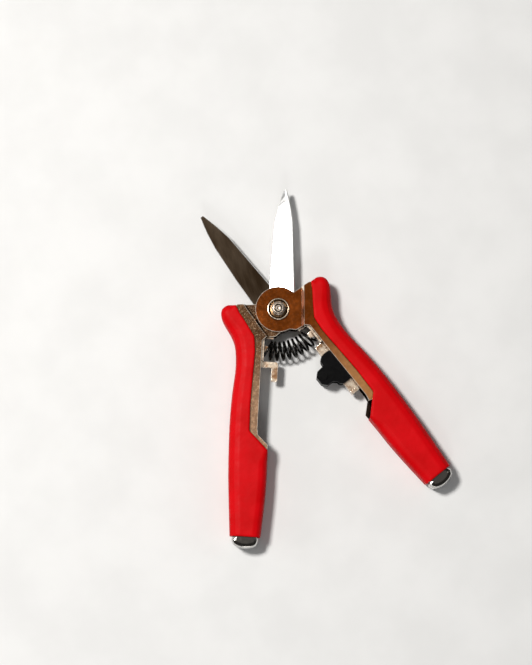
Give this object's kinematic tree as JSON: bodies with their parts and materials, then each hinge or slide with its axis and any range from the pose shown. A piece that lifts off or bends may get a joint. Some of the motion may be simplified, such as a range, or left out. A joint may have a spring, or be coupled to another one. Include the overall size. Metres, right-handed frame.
{
  "type": "floral snips",
  "caption": "Hand-held floral snips with crossed pointed blades, channel-section steel handles in vinyl grips, an arch spring that opens them and a sliding catch that locks them shut.",
  "frame": {"origin": "on the pivot axis, in the plane of the bolt head's flat face and the grips' undersides, on which the snips rest", "axes": "+Y from the handles to the blade tips along the middle of the open snips, +Z out of the front, the side with the pivot nut, +X to the right arm"},
  "size_m": [0.0972, 0.1417, 0.0147],
  "materials": {
    "plated_steel": "nickel plate, bright, with fine rolling marks",
    "bright_blade": "satin stainless, ground lengthwise",
    "dark_blade": "satin stainless, ground lengthwise",
    "fastener_steel": "zinc plate",
    "red_vinyl": "satin dipped vinyl",
    "black_plastic": "fine moulded texture",
    "black_wire": "black oxide, oiled"
  },
  "bodies": {
    "left_arm": {"left_channel": "plated_steel", "left_grip": "red_vinyl", "front_blade": "bright_blade", "front_blade_rivet_upper": "fastener_steel", "front_blade_rivet_lower": "fastener_steel", "keeper_hook_plate": "plated_steel", "keeper_rivet_front": "fastener_steel", "keeper_rivet_rear": "fastener_steel", "pivot_bolt": "fastener_steel", "pivot_rear_washer": "plated_steel", "pivot_front_washer": "plated_steel", "pivot_nut": "fastener_steel", "arch_spring": "black_wire"},
    "right_arm": {"right_channel": "plated_steel", "right_grip": "red_vinyl", "rear_blade": "dark_blade", "rear_blade_rivet_upper": "fastener_steel", "rear_blade_rivet_lower": "fastener_steel", "catch_carrier_plate": "plated_steel", "carrier_rivet_front": "fastener_steel", "carrier_rivet_rear": "fastener_steel"},
    "catch": {"catch_slider_front": "black_plastic", "catch_slider_rear": "black_plastic", "catch_guide_pin": "fastener_steel"}
  },
  "joints": [
    {"name": "close", "type": "hinge", "parent": "left_arm", "child": "right_arm", "pos_m": [0, 0, 0.007], "axis": [0, 0, -1], "range_deg": [0, 41.8], "stiffness_Nm_per_rad": 0.6, "springref_deg": -17.19, "deforming": ["arch_spring"]},
    {"name": "catch_slide", "type": "slide", "parent": "right_arm", "child": "catch", "axis": [-0.3567, 0.9342, 0], "range_m": [0, 0.0045]}
  ]
}
